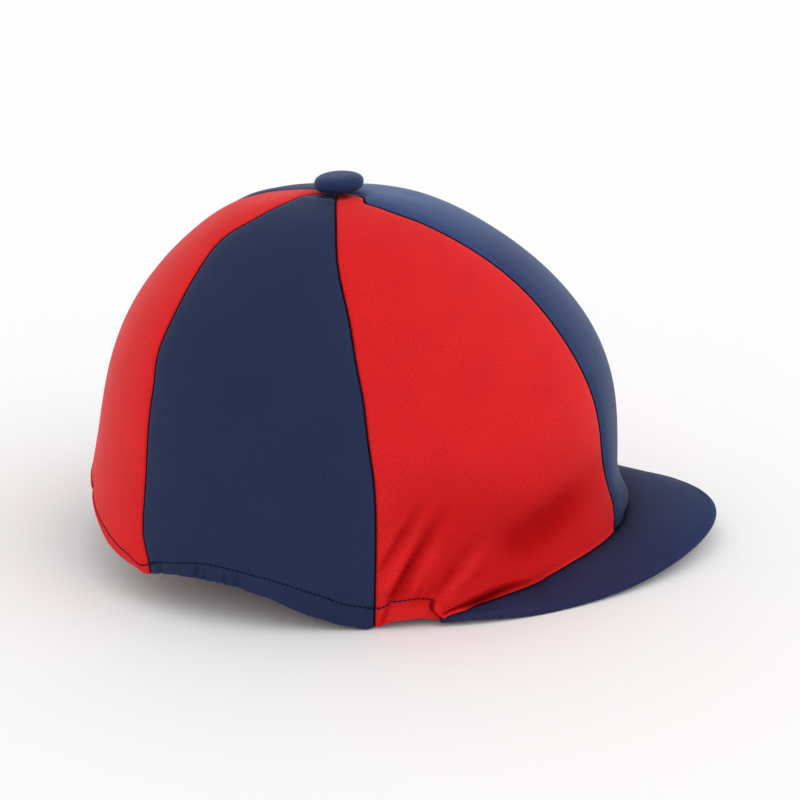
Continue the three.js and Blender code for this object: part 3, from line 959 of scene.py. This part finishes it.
# Painted light: the cover is painted a lighter blue towards the tip and in a band along the rim,
# where the light falls on it.
ahead_share = smooth((50 - np.abs(azimuth)) / 46)[:, None]
ahead_share = ahead_share * (0.3 + 0.7 * smooth((from_root - 4) / 34))
rim_share = 0.3 * bell(from_rim, rim_seam_inset)
painted_light_share = peak.data.attributes.new("open", "FLOAT", "POINT")
painted_light_share.data.foreach_set("value", np.tile(np.maximum(ahead_share, rim_share).ravel(), 2))
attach(peak, "root")
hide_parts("peak")

# The thread of the joint between the crown and the peak lies at the foot of the crown's cloth; its
# near-black colour is partly painted shade in the joint.
joint_thread_radius = 0.36
joint_thread_inset = 0.15
joint_thread_depth = 0.35
joint = root - level_normal * joint_thread_inset
joint[:, 2] = root_top - joint_thread_depth
thread_piece("peak_joint_thread", [tube(joint[2:-2], joint_thread_radius)], dark_thread_and_shade)


# The button
# A round blank covered in the navy knit, sewn on over the gores' tips. Its cloth is drawn round the
# edge to the underside, and it sits a little tipped towards the back.

button_radius = (button_high[0] - button_low[0]) / 2
button_height = 8.2
button_lift = -1.1
button_shift = 0.5
button_tip = -3.0 * DEGREE
button_pivot = 2.0
button_seat = crown_height + widest_level + button_lift
button_rings = 44
button_columns = 120
side_squareness = 3.1
rise_squareness = 2.5
pleat_count = 17
pleat_depth = 0.01
under_shading = 0.6

profile_turn = np.linspace(-90, 90, button_rings) * DEGREE
reach = np.abs(np.cos(profile_turn)) ** (2 / side_squareness) * button_radius
rise = np.abs(np.sin(profile_turn)) ** (2 / rise_squareness) * np.sign(np.sin(profile_turn))
around = np.linspace(0, 2 * math.pi, button_columns, endpoint=False)
under_share = smooth((0.1 - rise) / 0.8)[:, None]
pleated = 1 + pleat_depth * under_share * np.sin(pleat_count * around)[None, :]
ring_x = reach[:, None] * np.cos(around)[None, :] * pleated
ring_y = reach[:, None] * np.sin(around)[None, :] * pleated
ring_z = (rise[:, None] * 0.5 + 0.5) * button_height + 0 * ring_x
leaned_x = ring_x * math.cos(button_tip) - (ring_z - button_pivot) * math.sin(button_tip)
leaned_z = ring_x * math.sin(-button_tip) + ring_z * math.cos(button_tip)
points = np.stack([axis_x + button_shift + leaned_x, ring_y, button_seat + leaned_z], axis=-1)
faces = ring_faces(button_rings, button_columns)
uv = np.stack([ring_x.ravel(), ring_y.ravel()], axis=-1)
# Painted shade on the button's underside.
painted_shade = (under_shading * under_share + 0 * ring_x).ravel()
button_knit = knit(
    "button_knit", (0.0120, 0.0260, 0.0880), (0.007, 0.011, 0.036), blue_sheen, 0.34, ribs=0.2,
)
mesh = cloth_mesh("button_cover", points.reshape(-1, 3), faces, uv, painted_shade, button_knit)
button = put("button_cover", mesh)
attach(button, "root")
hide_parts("button")


# The floor, the light and the viewpoint
# A pale plain floor under soft studio light: one large soft source ahead of the peak and above, and
# an even pale surround. The camera looks at the cap's right side.

floor_half = 30.0
floor_level = -0.0002
floor_paint = Nodes("pale_floor")
floor_paint.shader.inputs["Base Color"].default_value = (0.95, 0.95, 0.95, 1)
floor_paint.shader.inputs["Roughness"].default_value = 0.9
floor_corners = [(-1, -1), (1, -1), (1, 1), (-1, 1)]
floor_mesh = bpy.data.meshes.new("floor")
floor_mesh.from_pydata(
    [(x * floor_half, y * floor_half, floor_level) for x, y in floor_corners], [], [(0, 1, 2, 3)],
)
floor_mesh.materials.append(floor_paint.material)
floor = put("floor", floor_mesh)

sun_place = Vector((1.0, -0.35, 1.1))
lamp = bpy.data.lights.new("key", "SUN")
lamp.energy = 0.55
lamp.angle = 50 * DEGREE
sun = put("key", lamp)
sun.location = sun_place
sun.rotation_euler = (-sun_place).to_track_quat("-Z", "Y").to_euler()

surround_strength = 0.92
world = bpy.data.worlds.new("studio")
world.use_nodes = True
surround = world.node_tree.nodes["Background"]
surround.inputs["Color"].default_value = (1, 1, 1, 1)
surround.inputs["Strength"].default_value = surround_strength
bpy.context.scene.world = world
bpy.context.scene.view_settings.view_transform = "Standard"

view_azimuth = -3.113 * DEGREE
view_elevation = 21.259 * DEGREE
view_roll = 0.644 * DEGREE
view_distance = 1.00417
view_target = np.array([-0.002246, 0.0, 0.068766])
view_focal_px = 2106.68
frame_px = 800

to_camera = np.array([
    math.sin(view_azimuth) * math.cos(view_elevation),
    -math.cos(view_azimuth) * math.cos(view_elevation),
    math.sin(view_elevation),
])
level_right = np.array([math.cos(view_azimuth), math.sin(view_azimuth), 0.0])
level_up = np.cross(to_camera, level_right)
right = level_right * math.cos(view_roll) + level_up * math.sin(view_roll)
up = level_up * math.cos(view_roll) - level_right * math.sin(view_roll)
lens = bpy.data.cameras.new("photo_view")
lens.sensor_width = 36.0
lens.lens = lens.sensor_width * view_focal_px / frame_px
lens.clip_end = 100.0
camera = put("photo_view", lens)
camera_place = view_target + to_camera * view_distance
matrix = np.eye(4)
matrix[:3] = np.stack([right, up, to_camera, camera_place], axis=1)
camera.matrix_world = Matrix(matrix.tolist())
bpy.context.scene.camera = camera
